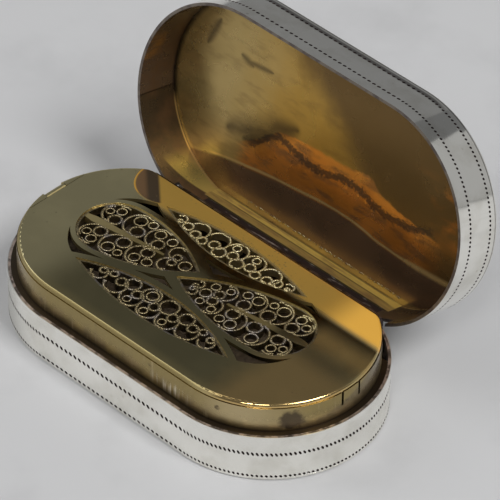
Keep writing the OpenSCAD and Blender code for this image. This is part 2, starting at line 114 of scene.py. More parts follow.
class Finish:
    # A finish whose pattern is placed in millimetres, in the shut lid's place for pieces of the lid.
    # A value in quotes is looked up in its dictionary or in giltLook, or is a place: x, y, z, side or radius.
    def __init__(self, name, form, onLid=False, metallic=1.0):
        self.onLid = onLid
        self.form = {**giltLook, **form}
        self.material = bpy.data.materials.new(name)
        self.material.use_nodes = True
        self.tree = self.material.node_tree
        self.shade("Metallic", metallic)
        turn = (lidAngle, 0, 0) if onLid else (0, 0, 0)
        shift = shutLid.translation if onLid else (0, 0, 0)
        local = self.node("ShaderNodeTexCoord", {}, "Object")
        self.place = self.node("ShaderNodeMapping", {"Vector": local, "Scale": (1 / mm,) * 3,
                                                     "Rotation": turn, "Location": shift})
        for axis in "xyz":
            self.form[axis] = self.node("ShaderNodeSeparateXYZ", {0: self.place}, axis.upper())
        self.form["side"] = self.maths("ABSOLUTE", "x")
        beyond = self.most(self.minus("side", case["halfX"]), 0.0)
        self.form["radius"] = self.maths("SQRT", self.plus(self.times(beyond, beyond), self.times("y", "y")))

    def value(self, given):
        return self.form[given] if isinstance(given, str) else given

    def feed(self, socket, given):
        given = self.value(given)
        if isinstance(given, bpy.types.NodeSocket):
            self.tree.links.new(given, socket)
        else:
            socket.default_value = given

    def shade(self, socket, given):
        self.feed(self.tree.nodes["Principled BSDF"].inputs[socket], given)

    def node(self, kind, inputs, output=0, **settings):
        made = self.tree.nodes.new(kind)
        for key, value in settings.items():
            setattr(made, key, value)
        for key, value in inputs.items():
            self.feed(made.inputs[key], value)
        return made.outputs[output]

    def maths(self, operation, first, second=0.0, clamp=False):
        return self.node("ShaderNodeMath", {0: first, 1: second}, operation=operation, use_clamp=clamp)

    def plus(self, first, second):
        return self.maths("ADD", first, second)

    def minus(self, first, second):
        return self.maths("SUBTRACT", first, second)

    def most(self, first, second):
        return self.maths("MAXIMUM", first, second)

    def times(self, first, *others):
        for other in others:
            first = self.maths("MULTIPLY", first, other)
        return first

    def swing(self, pattern, reach):  # a pattern about zero, reach from one extreme to the other
        return self.times(self.minus(pattern, 0.5), reach)

    def fade(self, value, limits, start=None):  # from 0 up to 1 or a third number
        low, high, most = (*self.value(limits), 1.0)[:3]
        if start is not None:
            low, high = start + low, start + high
        limits = {"Value": value, "From Min": low, "From Max": high, "To Max": most}
        return self.node("ShaderNodeMapRange", limits, interpolation_type="SMOOTHSTEP")

    def span(self, value, ends):  # 1 between two soft ends
        return self.times(*(self.fade(value, end) for end in self.value(ends)))

    def near(self, value, limits, start=0.0):  # 1 at a middle, 0 beyond a reach from it
        middle, reach = self.value(limits)
        return self.fade(self.maths("ABSOLUTE", self.minus(value, start + middle)), (reach, 0.0))

    def away(self, point):  # distance from a point
        return self.node("ShaderNodeVectorMath", {0: self.place, 1: point}, "Value", operation="DISTANCE")

    def mix(self, amount, first, second):
        return self.node("ShaderNodeMix", {0: amount, 6: first, 7: second}, 2, data_type="RGBA")

    def paint(self, amount, colour):  # lay a colour over the finish so far
        self.colour = self.mix(amount, self.colour, colour)

    def mottle(self, pattern, limits, first, second):
        grain = self.grain(pattern)
        self.colour = self.mix(self.fade(grain, limits), first, second)
        return grain

    def grade(self, amount, ends):
        first, second = self.value(ends)
        return self.node("ShaderNodeMix", {0: amount, 2: first, 3: second}, data_type="FLOAT")

    def grain(self, pattern):
        scale, detail, *stretch = self.value(pattern)
        stretch = stretch[0] if stretch else (1, 1, 1)
        moved = self.node("ShaderNodeMapping", {"Vector": self.place, "Scale": stretch})
        inputs = {"Vector": moved, "Scale": scale, "Detail": detail, "Roughness": patternForm["roughness"]}
        return self.node("ShaderNodeTexNoise", inputs)

    def specks(self, pattern):  # small round spots, 1 inside
        scale, size = self.value(pattern)
        cells = self.node("ShaderNodeTexVoronoi", {"Vector": self.place, "Scale": scale}, "Distance")
        return self.fade(cells, (size, size * patternForm["speckCore"]))

    def finish(self, roughness, height=None, depth=0.0, strength=patternForm["bump"]):
        self.shade("Base Color", self.colour)
        self.shade("Roughness", roughness)
        if height is not None:
            bump = {"Height": height, "Distance": self.value(depth) * mm, "Strength": strength}
            self.shade("Normal", self.node("ShaderNodeBump", bump))
        return self.material


# Dictionaries of finishes hold colours, patterns (scale, detail and stretch, or scale and size of specks),
# limits between which a change fades in, with its strength, and places, in millimetres.

# silver
silverLook = {
    "clean": rgb(0.95, 0.935, 0.875),
    "dull": rgb(0.84, 0.82, 0.75),
    "worn": rgb(0.52, 0.47, 0.38),
    "seam": rgb(0.13, 0.115, 0.11),
    "cloud": (0.35, 4),
    "scratches": (2.2, 5, (0.35, 0.35, 3.0)),
    "scratchDepth": 0.0025,
    "dullFrom": (0.42, 0.68),
    "spots": (0.8, 0.16), "spotsFrom": (0.5, 0.7, 0.6),
    "baseRoughness": (0.2, 0.36),
    "lidRoughness": (0.06, 0.16),
    "dirtLine": (8.95, 0.4),    # height and reach of the painted shade beside the lid's upper dots, under the rounded top edge
    "dirtEnds": (3.5, 1.0),    # where it ends, past the straight sides
    "dirtGain": 1.4,
    "seamLine": (0.02, 0.09),    # height above the ceiling, and reach
    "seamStrength": 0.8,
}


def silverParts(look):
    cloud = look.grain("cloud")
    fine = look.grain("scratches")
    look.colour = look.mix(look.fade(cloud, "dullFrom"), "clean", "dull")
    stain = look.times(look.specks("spots"), look.fade(cloud, "spotsFrom"))
    look.paint(stain, "worn")
    rough = look.grade(look.times(fine, cloud), "lidRoughness" if look.onLid else "baseRoughness")
    if look.onLid:  # painted shade beside the long sides' upper dots, and a dark seam where the side strip meets the top sheet
        sides = look.fade("side", "dirtEnds", case["halfX"])
        dirt = look.times(look.near("z", "dirtLine"), sides)
        dirt = look.maths("MULTIPLY", dirt, "dirtGain", True)
        seam = look.most(look.near("z", "seamLine", case["ceiling"]), dirt)
        look.paint(look.times(seam, "seamStrength"), "seam")
    return rough, fine


def silverFinish(name, onLid=False):
    look = Finish(name, silverLook, onLid)
    return look.finish(*silverParts(look), "scratchDepth")


# dark metal in the punched dots, on the ledge and in the hinge
tarnishLook = {
    "dotDark": rgb(0.035, 0.023, 0.023), "dotPale": rgb(0.16, 0.11, 0.10), "dotMottle": (6, 3),
    "dotFrom": (0.45, 0.75), "dotRoughness": 0.55,
    "rim": rgb(0.26, 0.225, 0.19), "rimMottle": (1.2, 4), "rimFrom": (0.4, 0.65), "rimRoughness": 0.5,
    "ledge": rgb(0.72, 0.60, 0.53), "ledgeDark": rgb(0.16, 0.135, 0.125), "ledgeMottle": (1.3, 5),
    "ledgeFrom": (0.38, 0.62),
    "ledgeEdge": (-0.08, -0.01),    # where it turns silver, from the case's outside
    "ledgeRoughness": (0.5, 0.3), "ledgeDepth": 0.02,
    "hinge": rgb(0.15, 0.125, 0.125), "hingeDark": rgb(0.045, 0.034, 0.036), "hingeMottle": (1.1, 5),
    "hingeFrom": (0.35, 0.65), "hingeRoughness": (0.3, 0.6), "hingeDepth": 0.01,
    # the pale streak colour gives a painted highlight on the hinge, and pale chips on the strip
    "streak": rgb(0.55, 0.53, 0.52),
    "streaks": (1.6, 3, (0.25, 3.0, 3.0)),
    "streakFrom": (0.6, 0.75),
}


def dotFinish():
    look = Finish("punchedDots", tarnishLook)
    look.mottle("dotMottle", "dotFrom", "dotDark", "dotPale")
    return look.finish("dotRoughness")


def rimFinish():
    look = Finish("lidRim", tarnishLook, True)
    look.mottle("rimMottle", "rimFrom", "rim", "ledgeDark")
    return look.finish("rimRoughness")


def ledgeFinish():
    look = Finish("ledgeTarnish", tarnishLook)
    mottle = look.mottle("ledgeMottle", "ledgeFrom", "ledgeDark", "ledge")
    outer = look.fade("radius", "ledgeEdge", case["radius"])
    look.paint(outer, silverLook["dull"])
    return look.finish(look.grade(outer, "ledgeRoughness"), mottle, "ledgeDepth")


def hingeFinish(name, onLid=False):
    look = Finish(name, tarnishLook, onLid)
    mottle = look.mottle("hingeMottle", "hingeFrom", "hingeDark", "hinge")
    # pale streaks along the hinge: painted highlight on the tubes
    streak = look.grain("streaks")
    look.paint(look.fade(streak, "streakFrom"), "streak")
    return look.finish(look.grade(mottle, "hingeRoughness"), streak, "hingeDepth")


# gilt
giltLook = {
    "plate": rgb(0.35, 0.305, 0.16), "plateEdge": rgb(0.62, 0.51, 0.24),
    "plateWarm": rgb(0.66, 0.46, 0.19), "platePale": rgb(0.93, 0.82, 0.46),
    "plateOrange": rgb(0.62, 0.385, 0.085), "plateBright": rgb(0.92, 0.50, 0.08),
    "plateBrown": rgb(0.56, 0.39, 0.15),
    "bezel": rgb(0.34, 0.26, 0.105), "bezelPale": rgb(0.55, 0.44, 0.24),
    "bezelStain": rgb(0.22, 0.17, 0.09), "bezelDark": rgb(0.07, 0.053, 0.04),
    "bezelRub": rgb(0.86, 0.80, 0.62),
    "olive": rgb(0.20, 0.12, 0.04),
    "ceiling": rgb(0.55, 0.33, 0.07), "ceilingPale": rgb(0.54, 0.39, 0.15),
    "lightLine": rgb(0.78, 0.54, 0.21),
    "amber": rgb(0.68, 0.26, 0.048), "amberBright": rgb(0.95, 0.40, 0.07),
    "brown": rgb(0.22, 0.13, 0.07),
    "lidWall": rgb(0.20, 0.14, 0.10), "lidWallDark": rgb(0.125, 0.09, 0.055),
    "lidGlint": rgb(0.52, 0.26, 0.06),
    "black": rgb(0.035, 0.022, 0.014),
    "strip": rgb(0.92, 0.74, 0.22),
    "wire": rgb(0.45, 0.37, 0.21), "wireDull": rgb(0.25, 0.20, 0.11),
    "wireGrey": rgb(0.35, 0.325, 0.315), "wireDeep": rgb(0.36, 0.29, 0.19),
    "insideMetal": 0.75,    # how far the dull gilding inside the lid is bare metal
}

plateMarks = {
    "cloud": (0.22, 3),
    "scratches": (1.5, 4, (0.3, 2.5, 1.0)),
    "scratchDepth": 0.0022,
    "drift": 3.0,    # how far the cloud moves the edges of the two ends
    "paleEnd": (-7.0, -13.0),
    "edge": (8.1, 9.3), "edgeStrength": 0.6,
    "warmEnd": (8.5, 12.5), "warmFront": (1.5, -2.0),
    "brownEnd": (10.0, 12.5), "brownAcross": (2.4, 2.6),
    "rear": (4.2, 5.2), "rearLeft": (-11.5, -11.0), "rearBright": (8.0, 13.5),
    "disc": (-11.3, 7.6, 7.76),    # the lid's end as it is mirrored in the plate
    "reach": 2.92,
    "discEdge": (0.08, -0.04),
    "shadeEdge": (0.0, -0.2),
    "bandSlope": (7.5, 1.09),
    "bandFrom": (-14.3, -13.5),    # the darkest band across it
    "bandTo": (-12.0, -12.5, 0.95),
    "discRim": (2.9, 0.17), "discRimEnd": (-11.4, -12.4),
    "wornRear": (4.5, 7.0), "wornAlong": (2.0, 7.5),
    "rearPits": (2.6, 0.3),
    "pits": (1.4, 0.14), "pitsFrom": (0.45, 0.6),
    "pitStrength": 0.6,
    "bend": (7.75, 7.72),    # the rounded edge, painted shade and rougher but for the right end
    "bendEnd": (10.5, 7.5), "bendStrength": 0.75,
    "roughFrom": (0.35, 0.7),
    "roughness": (0.1, 0.2),
    "rearRoughness": 0.32,
    "bendRoughness": 0.5,
    "cornerEnd": (9.5, 13.0),
    "metal": {"warm": 0.965, "brown": 0.8, "rear": 0.6, "corner": 0.15},    # less of bare metal where duller
}


def plateFinish():
    look = Finish("giltPlate", plateMarks)
    cloud = look.grain("cloud")
    scratch = look.grain("scratches")
    drifted = look.plus("x", look.swing(cloud, "drift"))
    # painted reflection: the left end pale, where it mirrors the bright sky
    left = look.fade(drifted, "paleEnd")
    look.colour = look.mix(left, "plate", "platePale")
    # painted highlight along the rounded edge, weaker at the pale left end
    edge = look.minus("edgeStrength", look.times(left, "edgeStrength"))
    edge = look.times(look.fade("radius", "edge"), edge)
    look.paint(edge, "plateEdge")
    warm = look.times(look.fade(drifted, "warmEnd"), look.fade("y", "warmFront"))
    look.paint(warm, "plateWarm")
    brown = look.times(look.fade("x", "brownEnd"), look.near("y", "brownAcross"))
    look.paint(brown, "plateBrown")
    # painted reflection of the lid's gilt inside: the rear orange, brightest at the right, rougher and less
    # metallic; at its left the lid's round end is mirrored, dark with a bright rim
    disc = look.away("disc")
    end = look.most(look.fade("x", "rearLeft"), look.fade(disc, "discEdge", look.form["reach"]))
    rear = look.times(look.fade("y", "rear"), end)
    reflectedGilt = look.mix(look.fade("x", "rearBright"), "plateOrange", "plateBright")
    look.paint(rear, reflectedGilt)
    start, slope = look.form["bandSlope"]
    across = look.plus("x", look.times(look.minus("y", start), slope))
    shade = look.times(look.fade(disc, "shadeEdge", look.form["reach"]),
                       look.fade(across, "bandTo"))
    tone = look.mix(look.fade(across, "bandFrom"), "brown", "bezelDark")
    look.paint(shade, tone)
    rim = look.times(look.near(disc, "discRim"), look.fade("x", "discRimEnd"), rear)
    look.paint(rim, "plateBright")
    # wear
    worn = look.times(look.fade("y", "wornRear"), look.near("x", "wornAlong"))
    marks = look.most(look.times(look.specks("rearPits"), worn),
                      look.times(look.specks("pits"), look.fade(cloud, "pitsFrom")))
    look.paint(look.times(marks, "pitStrength"), "bezelStain")
    # painted shade: the rounded edge darker, but for the right end
    bend = look.times(look.fade("z", "bend"), look.fade("x", "bendEnd"))
    look.paint(look.times(bend, "bendStrength"), "bezel")
    rough = look.grade(look.fade(cloud, "roughFrom"), "roughness")
    rough = look.grade(rear, (rough, "rearRoughness"))
    rough = look.grade(bend, (rough, "bendRoughness"))
    corner = look.times(rear, look.fade("x", "cornerEnd"))
    metal = 1.0
    for zone, part in (("warm", warm), ("brown", brown), ("rear", rear), ("corner", corner)):
        metal = look.grade(part, (metal, look.form["metal"][zone]))
    look.shade("Metallic", metal)
    return look.finish(rough, look.minus(scratch, marks), "scratchDepth")


bezelMarks = {
    "streak": (1.3, 4, (1.6, 1.6, 0.12)), "streakDepth": 0.004,
    "cloud": (0.5, 4),
    "ragged": (1.6, 4),
    "rise": (0.1, 2.1),    # height above the rim over which the stain thins out
    "stainLevel": (1.05, 0.55), "stainFrom": (0.25, 0.6),
    "paleStreak": (0.56, 0.68), "paleCloud": (0.42, 0.55, 0.5),
    "gold": (13.2, 5.0), "goldRise": (5.0, 5.9),
    "rub": (6.2, 3.0), "rubHeight": (5.7, 1.0), "rubStreak": (0.48, 0.62),
    "darkEnd": (16.5, 17.2),
    "tideFoot": (-3.6, 5.4),    # where the dark end's slanting edge starts
    "tideSlope": 0.32, "tideEdge": (0.2, -0.15),
    "blotch": (16.4, -5.3, 5.9), "blotchReach": (1.35, 0.75), "blotchRag": 1.3,
    "spots": (0.75, 0.28), "spotsFrom": (0.52, 0.66),
    "darkStrength": 0.85,
    "foot": (0.3, 0.0, 0.9),
    "roughness": (0.2, 0.42),
}


def bezelFinish():
    look = Finish("giltBezel", bezelMarks)
    rise = look.fade("z", "rise", case["rim"])
    streak = look.grain("streak")
    cloud = look.grain("cloud")
    most, least = look.form["stainLevel"]
    stain = look.maths("ADD", look.minus(most, rise), look.minus(streak, least), True)
    look.colour = look.mix(look.times(stain, look.fade(cloud, "stainFrom")), "bezel", "bezelStain")
    pale = look.times(look.fade(streak, "paleStreak"), look.fade(cloud, "paleCloud"))
    gold = look.times(look.near("x", "gold"), look.fade("z", "goldRise"))
    look.paint(look.most(pale, gold), "bezelPale")
    rub = look.times(look.near("x", "rub"), look.near("z", "rubHeight"),
                     look.fade(streak, "rubStreak"))
    look.paint(rub, "bezelRub")
    # dark right end below a slanting edge, and a black blotch before it
    foot, level = look.form["tideFoot"]
    tide = look.times(look.minus("y", foot), "tideSlope")
    tide = look.minus(look.minus("z", level), tide)
    end = look.times(look.fade("x", "darkEnd"), look.fade(tide, "tideEdge"), "darkStrength")
    look.paint(end, "bezelStain")
    reach = look.plus(look.away("blotch"), look.swing(look.grain("ragged"), "blotchRag"))
    spots = look.times(look.specks("spots"), look.fade(cloud, "spotsFrom"))
    spots = look.most(spots, look.fade(reach, "blotchReach"))
    # painted shade along the bezel's foot, against the ledge, together with the dark spots and blotch
    ledge = look.fade("z", "foot", case["rim"])
    dark = look.most(look.times(spots, "darkStrength"), ledge)
    look.paint(dark, "bezelDark")
    return look.finish(look.grade(look.most(stain, dark), "roughness"), streak, "streakDepth")


ceilingMarks = {  # on the shut lid's ceiling
    "cloud": (0.16, 4),
    "wave": (0.34, 5, (0.55, 1.0, 1.0)), "waveDepth": 0.006,
    "ragged": (1.5, 4),
    "mottle": (0.9, 5, (0.45, 1.5, 1.0)),
    "crumb": (3.4, 4),
    "drift": 9.0,
    "slant": (2.5, 1.2), "slantEdge": (3.0, -3.5),
    "paleEnd": (-3.0, -13.0),
    "patchEnd": (8.0, 11.0), "patchAcross": (-0.6, 3.6), "patchFrom": (0.47, 0.6),
    "lineSpan": ((-14.0, 16.0), (0.0, 8.0)),    # stretch of the three lines
    "rag": 0.5,
    "amberPoints": ((-10.0, 4.3), (-6.8, 2.2), (-5.6, 1.1), (2.5, 0.4), (4.8, 0.1), (6.2, 1.0), (11.0, 1.9)),
    "amberEdge": (-0.1, 0.15), "amberEnds": ((-10.6, -8.6), (15.0, 10.5)), "amberFades": (1.9, 0.3),
    "amberMottle": (0.46, 0.66, 0.6),
    "restMottle": (0.45, 0.7, 0.3),
    "stainPoints": ((-9.0, 3.9), (-8.2, 3.5), (-7.0, 2.4), (-5.5, 1.7), (-3.8, 2.05), (-1.5, 2.45),
                    (0.6, 2.2), (2.0, 1.8), (4.2, 1.95), (6.0, 2.5), (8.1, 2.65), (10.7, 2.2), (12.6, 1.6)),
    "stainEnds": ((-9.6, -8.4), (14.0, 11.0)), "stainReach": (0.0, 0.85), "stainCrumb": 2.0,
    "stainFrom": (0.4, 0.85, 0.8),
    "sparks": (1.2, 0.34),
    "sparkLine": (0.45, 0.6),
    "lightPoints": ((-13.0, 6.9), (-9.7, 6.2), (-2.0, 5.3), (4.2, 5.0), (7.5, 5.5), (15.0, 5.4)),
    "lightWave": 0.4, "lightStart": (-13.6, -12.2),
    "lightWidth": (0.2, 0.45),    # at the left and past the place below
    "lightWidens": (9.0, 12.0), "lightCore": 0.02,
    "brownEdge": (0.0, 0.35),
    "shelf": (9.0, 9.25),    # gilding that ran under the solder, beside the strip
    "shelfEnd": (-12.0, -8.0, 0.4),
    "clouds": (((-11.6, 3.6), (-3.8, 0.0), 2.2), ((-9.6, 3.8), (-5.6, 1.1), 2.0)),    # ends and reach of each
    "cloudWave": (0.4, 0.55), "cloudStrength": (0.6, 0.85),
    "spots": (((-14.6, -5.8), (-15.6, -2.9), 0.75), ((-11.6, -3.75), (-10.0, -3.25), 0.6),
              ((-10.9, -3.45), (-7.7, -3.75), 0.5)),
    "spotStrength": 0.75,
    "darkStrength": 0.85,
    "seam": (-0.6, -0.05),    # painted shade in the corner round the ceiling, from the wall
    "seamFrom": (3.0, 4.5),    # it turns light past here
    "seamStrength": (0.8, 0.25),
    "skin": (0.08, 0.04),    # the outside starts this far above the ceiling
    "skinEdge": (-0.1, -0.2),
    "roughFrom": (0.35, 0.65),
    "roughness": (0.22, 0.36),
}


def lineThrough(look, points):  # height of a smooth line through points of the ceiling, at each x
    (left, right), (low, high) = ceilingMarks["lineSpan"]
    share = look.maths("DIVIDE", look.minus("x", left), right - left)
    height = look.node("ShaderNodeFloatCurve", {"Value": share})
    mapping = height.node.mapping
    places = [((x - left) / (right - left), (y - low) / (high - low)) for x, y in look.form[points]]
    ends = mapping.curves[0].points
    ends[0].location, ends[1].location = places[0], places[-1]
    for x, y in places[1:-1]:
        mapping.curves[0].points.new(x, y)
    mapping.update()
    return look.plus(look.times(height, high - low), low)


def stroke(look, first, last, reach):  # leaf-shaped mark between two points of the ceiling
    ends = [Vector((*point, case["ceiling"])) for point in (first, last)]
    run = (ends[1] - ends[0]).length
    gap = look.minus(look.plus(*(look.away(point) for point in ends)), run)
    share = look.maths("DIVIDE", gap, 2 * math.hypot(run / 2, reach) - run, True)
    return look.fade(look.maths("SQRT", share), (1.0, 0.0))


def ceilingFinish():
    look = Finish("giltCeiling", silverLook, True)
    outRough, fine = silverParts(look)
    outColour = look.colour
    look.form.update(ceilingMarks)
    cloud = look.grain("cloud")
    wave = look.grain("wave")
    mottle = look.grain("mottle")
    ragged = look.plus(look.swing(look.grain("ragged"), "rag"), "y")
    # pale gold at one end, olive beyond a slanting edge
    drifted = look.plus("x", look.swing(cloud, "drift"))
    start, slope = look.form["slant"]
    slant = look.minus(drifted, look.times(look.plus("y", start), slope))
    look.colour = look.mix(look.fade(slant, "slantEdge"), "olive", "ceiling")
    look.paint(look.fade(drifted, "paleEnd"), "ceilingPale")
    patch = look.times(look.fade("x", "patchEnd"), look.near("y", "patchAcross"),
                       look.fade(wave, "patchFrom"))
    look.paint(patch, "amber")
    # amber band under a ragged edge, with a dark line along it
    over = look.minus(ragged, lineThrough(look, "amberPoints"))
    band = look.times(look.fade(over, "amberEdge"), look.span("x", "amberEnds"))
    tone = look.mix(look.fade(over, "amberFades"), "amber", "amberBright")
    tone = look.mix(look.fade(mottle, "amberMottle"), tone, "brown")
    look.paint(look.fade(mottle, "restMottle"), "olive")
    look.paint(band, tone)
    off = look.minus(ragged, lineThrough(look, "stainPoints"))
    ends = look.span("x", "stainEnds")
    spark = look.times(look.specks("sparks"), look.near(off, "sparkLine"), ends)
    look.paint(spark, "amberBright")
    crumb = look.swing(look.grain("crumb"), "stainCrumb")
    stain = look.fade(look.plus(look.near(off, "stainReach"), crumb), "stainFrom")
    look.paint(look.times(stain, ends), "bezelDark")
    # painted reflection: a light line where the plate's bright edge is mirrored, and brown below it where the
    # plate and filigree are mirrored
    line = look.minus("y", lineThrough(look, "lightPoints"))
    line = look.plus(line, look.swing(wave, "lightWave"))
    look.paint(look.fade(line, "brownEdge"), "brown")
    width = look.grade(look.fade("x", "lightWidens"), "lightWidth")
    reflectedLine = look.times(look.fade(look.maths("ABSOLUTE", line), (width, look.form["lightCore"])),
                     look.fade("x", "lightStart"))
    look.paint(reflectedLine, "lightLine")
    shelf = look.times(look.fade("y", "shelf"), look.fade("x", "shelfEnd"))
    look.paint(shelf, "ceilingPale")
    # stains, and painted shade in the corner along the wall
    dark = 0.0
    for part in look.form["clouds"]:
        dark = look.most(dark, stroke(look, *part))
    dark = look.times(dark, look.grade(look.fade(wave, "cloudWave"), "cloudStrength"))
    for part in look.form["spots"]:
        dark = look.most(dark, look.times(stroke(look, *part), "spotStrength"))
    seam = look.times(look.fade("radius", "seam", case["inside"]),
                      look.grade(look.fade("y", "seamFrom"), "seamStrength"))
    dark = look.most(look.times(dark, "darkStrength"), seam)
    look.paint(dark, "black")
    inside = look.times(look.fade("z", "skin", case["ceiling"]),
                        look.fade("radius", "skinEdge", case["radius"]))
    rough = look.grade(look.fade(cloud, "roughFrom"), "roughness")
    look.shade("Metallic", look.grade(inside, (1.0, "insideMetal")))
    look.colour = look.mix(inside, outColour, look.colour)
    rough = look.grade(inside, (outRough, rough))
    return look.finish(rough, look.grade(inside, (fine, wave)), "waveDepth")


lidWallMarks = {  # on the inside of the shut lid's wall
    "cloud": (0.35, 4),
    "streak": (0.9, 4, (1.2, 1.2, 0.2)), "streakDepth": 0.006,
    "darkFrom": (2.6, 2.7),
    "brownFrom": (0.45, 0.75),
    "glint": (-2.0, 2.2), "glintHeight": (7.4, 6.2), "glintStreak": (0.42, 0.6),
    "joint": (2.65, 0.13),    # end of the side strip
    "jointSide": (0.0, -1.0),
    "dirt": (-0.35, -0.05),    # painted shade in the corner below the ceiling
    "darkStrength": 0.85,
    "seam": (-0.15, 0.17),
    "tipSlope": 0.485,    # gilt tip that runs on from the strip round the wall
    "tipLevel": 13.24, "tipEdge": (-0.1, 0.15), "tipEnds": ((-15.6, -13.8), (-8.0, -10.0)),
    "tipGrows": (-14.0, -11.2), "tipStrength": (0.5, 0.85),
    "roughness": (0.2, 0.36),
}


def lidWallFinish():
    look = Finish("giltLidInside", lidWallMarks, True, "insideMetal")
    cloud = look.grain("cloud")
    streak = look.grain("streak")
    look.colour = look.mix(look.fade("y", "darkFrom"), "lidWall", "lidWallDark")
    look.paint(look.fade(cloud, "brownFrom"), "brown")
    glint = look.times(look.near("y", "glint"), look.fade("z", "glintHeight"),
                       look.fade(streak, "glintStreak"))
    look.paint(glint, "lidGlint")
    joint = look.times(look.near("y", "joint"), look.fade("x", "jointSide"))
    light = look.fade("y", ceilingMarks["seamFrom"])
    # painted shade in the corner below the ceiling, fading past where the ceiling turns light, and a dark
    # joint at the side strip's end
    dirt = look.times(look.fade("z", "dirt", case["ceiling"]), look.grade(light, (1.0, 0.0)))
    look.paint(look.times(look.most(dirt, joint), "darkStrength"), "black")
    tip = look.minus("z", look.plus(look.times("x", "tipSlope"), "tipLevel"))
    tip = look.times(look.fade(tip, "tipEdge"), look.span("x", "tipEnds"), light,
                     look.grade(look.fade("x", "tipGrows"), "tipStrength"))
    look.paint(tip, "strip")
    seam = look.times(look.near("z", "seam", case["ceiling"]), light)
    look.paint(seam, "lightLine")
    return look.finish(look.grade(cloud, "roughness"), streak, "streakDepth")


stripMarks = {  # on the strip that carries the lid's hinge tubes
    "streak": (0.8, 4, (0.4, 2.0, 2.0)), "streakDepth": 0.006,
    "worn": (1.7, 4, (0.3, 1.5, 1.5)),
    "paleFrom": (0.45, 0.7),
    "crease": 8.5, "creaseReach": (0.0, 0.14), "creaseEnd": (11.0, 9.0, 0.75),
    "top": (-0.06, 0.16),
    "under": (0.1, -0.1, 0.4),    # darker below the crease: painted shade and tarnish
    "wornFrom": (0.58, 0.72),
    "tarnish": (7.6, 7.54),
    "roughness": (0.24, 0.42),
}


def stripFinish():
    look = Finish("giltStrip", stripMarks, True, "insideMetal")
    streak = look.mottle("streak", "paleFrom", "strip", "ceilingPale")
    # painted shade: a dark line along the crease and where the strip meets the ceiling
    crease = look.near("z", "creaseReach", look.form["crease"])
    crease = look.most(crease, look.near("z", "top", case["ceiling"]))
    crease = look.times(crease, look.fade("side", "creaseEnd"))
    look.paint(crease, "black")
    under = look.fade("z", "under", look.form["crease"])
    look.paint(under, "brown")
    worn = look.fade(look.grain("worn"), "wornFrom")
    dull = look.mix(worn, tarnishLook["hingeDark"], tarnishLook["streak"])
    look.paint(look.fade("z", "tarnish"), dull)
    return look.finish(look.grade(streak, "roughness"), streak, "streakDepth")


wireMarks = {
    "bead": (5.0, 2), "beadDepth": 0.03,
    "bumpStrength": 0.8,
    "brightFrom": (0.36, 0.64),
    "worn": (0.7, 3),
    "greyFrom": (0.5, 0.66, 0.7),
    "deep": (7.45, 7.0),
    "rear": (1.8, 4.0, 0.5),    # painted highlight, brighter towards the lid
    "roughness": (0.24, 0.42),
}


def wireFinish(name, deep=True):
    look = Finish(name, wireMarks)
    bead = look.mottle("bead", "brightFrom", "wireDull", "wire")
    look.paint(look.fade(look.grain("worn"), "greyFrom"), "wireGrey")
    # painted shade and tarnish lower down the wires
    if deep:
        look.paint(look.fade("z", "deep"), "wireDeep")
    look.paint(look.fade("y", "rear"), "platePale")
    rough = look.grade(bead, "roughness")
    return look.finish(rough, bead, "beadDepth", "bumpStrength")


print("finishes ready")


# pitted walls: a flat strip of cells, dots punched into two rows, wrapped round the case
wallForm = {
    "border": 0.02,    # flat metal between a cell's edge and its dot
    "lip": 0.02,
    "lipRise": 0.003,
    "depth": 0.09,
    "notchClear": 0.03,    # room past each end of the hinge pin
    "weld": 0.001,
    "sameHeight": 0.01,
    "leastRow": 0.02,
    "rowReach": 0.03,
    "base": {
        "straightDots": 31,    # dots along a straight side and round an end
        "roundDots": 81,
        "rows": [    # height, half height of the cells, and the dots' share of a cell, half height and lean
            {"z": 0.48, "cell": 0.17, "wide": 0.78, "tall": 0.16, "lean": 0.25},
            {"z": 2.93, "cell": 0.24, "wide": 0.76, "tall": 0.22, "lean": 0.35},
        ],
    },
    "lid": {
        "straightDots": 30,
        "roundDots": 80,
        "rows": [
            {"z": 6.22, "cell": 0.17, "wide": 0.76, "tall": 0.155, "lean": -0.2},
            {"z": 8.78, "cell": 0.17, "wide": 0.76, "tall": 0.155, "lean": -0.2},
        ],
    },
}


def runAt(column, form):  # distance round the case at which a column of cells starts
    straight, bend = 2 * case["halfX"], math.pi * case["radius"]
    half, column = divmod(column, form["straightDots"] + form["roundDots"])
    along = min(column, form["straightDots"]) * straight / form["straightDots"]
    return half * (straight + bend) + along + max(column - form["straightDots"], 0) * bend / form["roundDots"]


def wrapped(point):  # flat strip (run, height, out) to its place round the case
    half = 2 * case["halfX"] + math.pi * case["radius"]
    run = point.x
    sign = 1 if run < half else -1
    run -= 0 if run < half else half
    reach = case["radius"] + point.z
    if run < 2 * case["halfX"]:
        return Vector((sign * (run - case["halfX"]), -sign * reach, point.y))
    turn = (run - 2 * case["halfX"]) / case["radius"]
    return Vector((sign * (case["halfX"] + reach * math.sin(turn)), -sign * reach * math.cos(turn), point.y))


def punchDots(bm, cells, row):
    lip = wallForm["lip"]
    bmesh.ops.inset_individual(bm, faces=cells, thickness=wallForm["border"])
    for edge in {edge for cell in cells for edge in cell.edges}:
        bmesh.utils.edge_split(edge, edge.verts[0], 0.5)
    for cell in cells:
        middle = cell.calc_center_bounds()
        wide, high = (max(abs(v.co[axis] - middle[axis]) for v in cell.verts) for axis in (0, 1))
        for v in cell.verts:
            angle = math.atan2((v.co.y - middle.y) / high, (v.co.x - middle.x) / wide)
            up = row["tall"] * math.sin(angle)
            across = row["wide"] * wide * math.cos(angle) - row["lean"] * up
            v.co = middle + Vector((across, up, wallForm["lipRise"]))
    bmesh.ops.inset_individual(bm, faces=cells, thickness=lip)
    walls = bmesh.ops.inset_individual(bm, faces=cells, thickness=lip, depth=-wallForm["depth"])["faces"]
    for face in walls + cells:
        face.material_index = 1


